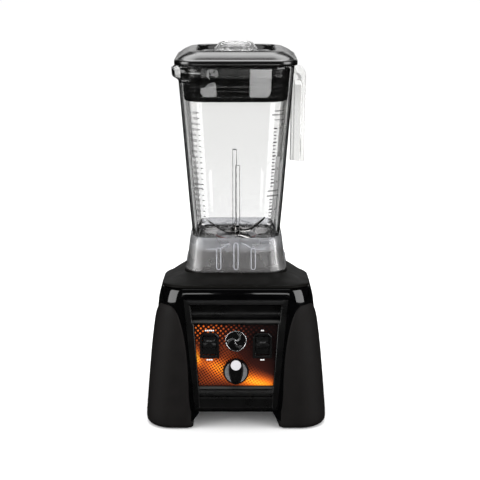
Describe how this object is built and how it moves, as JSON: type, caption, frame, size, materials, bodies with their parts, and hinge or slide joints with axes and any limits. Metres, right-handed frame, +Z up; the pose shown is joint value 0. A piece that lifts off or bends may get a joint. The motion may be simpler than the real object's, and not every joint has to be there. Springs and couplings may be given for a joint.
{
  "type": "countertop blender",
  "caption": "Motor base on corner legs with a sloped control panel, speed dial and paddle switches, under a lift-off square jar with blade unit, lid and cap.",
  "frame": {"origin": "on the surface that the blender stands on, under the middle of the base", "axes": "+Z up along the motor shaft, controls facing -Y, +X to the right seen from the front"},
  "size_m": [0.218, 0.2218, 0.452],
  "materials": {
    "gloss_black": "polished moulding",
    "satin_black": "fine satin",
    "textured_black": "fine spark-eroded texture",
    "fascia_black": "satin",
    "panel_print": "printed graphic under clear film",
    "switch_black": "gloss",
    "knob_black": "gloss",
    "dial_silver": "spun",
    "pointer_white": "smooth",
    "emblem_silver": "raised foil",
    "label_white": "pad print",
    "clear_jar": "clear moulding",
    "scale_print": "pad print",
    "smoke_collar": "smoke tint, translucent",
    "lid_rubber": "satin",
    "cap_clear": "clear moulding",
    "black_rubber": "matte",
    "drive_black": "glass-filled nylon",
    "blade_steel": "polished stainless",
    "bearing_steel": "ground",
    "zinc_steel": "zinc plated",
    "cast_aluminium": "die cast",
    "core_iron": "stacked laminations",
    "copper": "enamelled copper",
    "brass_holder": "stamped",
    "carbon": "graphite",
    "circuit_green": "solder mask",
    "button_red": "gloss",
    "gasket_red": "silicone"
  },
  "bodies": {
    "base": {"base_housing": "gloss_black", "top_cover": "satin_black", "leg_cover_front_left": "textured_black", "leg_cover_front_right": "textured_black", "leg_cover_rear_left": "textured_black", "leg_cover_rear_right": "textured_black", "rubber_feet": "black_rubber", "bottom_plate": "textured_black", "bottom_screws": "zinc_steel", "fascia_frame": "fascia_black", "control_panel": "panel_print", "power_switch_bezel": "switch_black", "pulse_switch_bezel": "switch_black", "power_switch_body": "switch_black", "pulse_switch_body": "switch_black", "speed_control": "textured_black", "circuit_board": "circuit_green", "motor_stator": "core_iron", "field_coils": "copper", "upper_motor_bracket": "cast_aluminium", "lower_motor_bracket": "cast_aluminium", "upper_motor_bearing": "bearing_steel", "lower_motor_bearing": "bearing_steel", "motor_bolts": "zinc_steel", "brush_holders": "brass_holder", "carbon_brushes": "carbon", "jar_pad": "black_rubber", "cord_gland": "black_rubber"},
    "rotor": {"motor_shaft": "bearing_steel", "armature_core": "core_iron", "commutator": "copper", "cooling_fan": "textured_black", "drive_coupling": "drive_black"},
    "dial": {"speed_knob": "knob_black", "dial_face": "dial_silver", "pointer_dot": "pointer_white", "speed_control_shaft": "bearing_steel"},
    "power_switch": {"power_paddle": "switch_black"},
    "pulse_switch": {"pulse_paddle": "switch_black"},
    "reset": {"reset_button": "button_red"},
    "jar_unit": {"jar": "clear_jar", "jar_handle": "clear_jar", "jar_collar": "smoke_collar", "bearing_housing": "cast_aluminium", "housing_nut": "zinc_steel", "housing_gasket": "gasket_red", "upper_blade_bearing": "bearing_steel", "lower_blade_bearing": "bearing_steel", "blade_seal": "black_rubber"},
    "blade_unit": {"blade_shaft": "blade_steel", "raised_blades": "blade_steel", "lower_blades": "blade_steel", "blade_nut": "blade_steel", "blade_spacer": "blade_steel", "drive_socket": "drive_black"},
    "lid_unit": {"lid": "lid_rubber"},
    "cap_unit": {"lid_cap": "cap_clear"}
  },
  "joints": [
    {"name": "motor_spin", "type": "hinge", "parent": "base", "child": "rotor", "pos_m": [0, 0, 0.1], "axis": [0, 0, 1], "continuous": true},
    {"name": "blade_spin", "type": "hinge", "parent": "jar_unit", "child": "blade_unit", "pos_m": [0, 0, 0.21], "axis": [0, 0, 1], "continuous": true},
    {"name": "speed_turn", "type": "hinge", "parent": "base", "child": "dial", "pos_m": [0, -0.097, 0.073], "axis": [0, -0.9968, 0.0802], "range_deg": [-135, 135]},
    {"name": "power_rock", "type": "hinge", "parent": "base", "child": "power_switch", "pos_m": [0.0313, -0.09596, 0.10462], "axis": [-1, 0, 0], "range_deg": [0, 10]},
    {"name": "pulse_rock", "type": "hinge", "parent": "base", "child": "pulse_switch", "pos_m": [-0.0313, -0.09596, 0.10462], "axis": [-1, 0, 0], "range_deg": [-5, 5], "stiffness_Nm_per_rad": 0.3},
    {"name": "reset_press", "type": "slide", "parent": "base", "child": "reset", "axis": [0, 0, 1], "range_m": [0, 0.002], "stiffness_N_per_m": 800},
    {"name": "jar_lift", "type": "slide", "parent": "base", "child": "jar_unit", "axis": [0, 0, 1], "range_m": [0, 0.08]},
    {"name": "lid_lift", "type": "slide", "parent": "jar_unit", "child": "lid_unit", "axis": [0, 0, 1], "range_m": [0, 0.07]},
    {"name": "cap_lift", "type": "slide", "parent": "lid_unit", "child": "cap_unit", "axis": [0, 0, 1], "range_m": [0, 0.05]}
  ],
  "couplings": [
    {"joint": "blade_spin", "follows": "motor_spin", "ratio": 1}
  ]
}
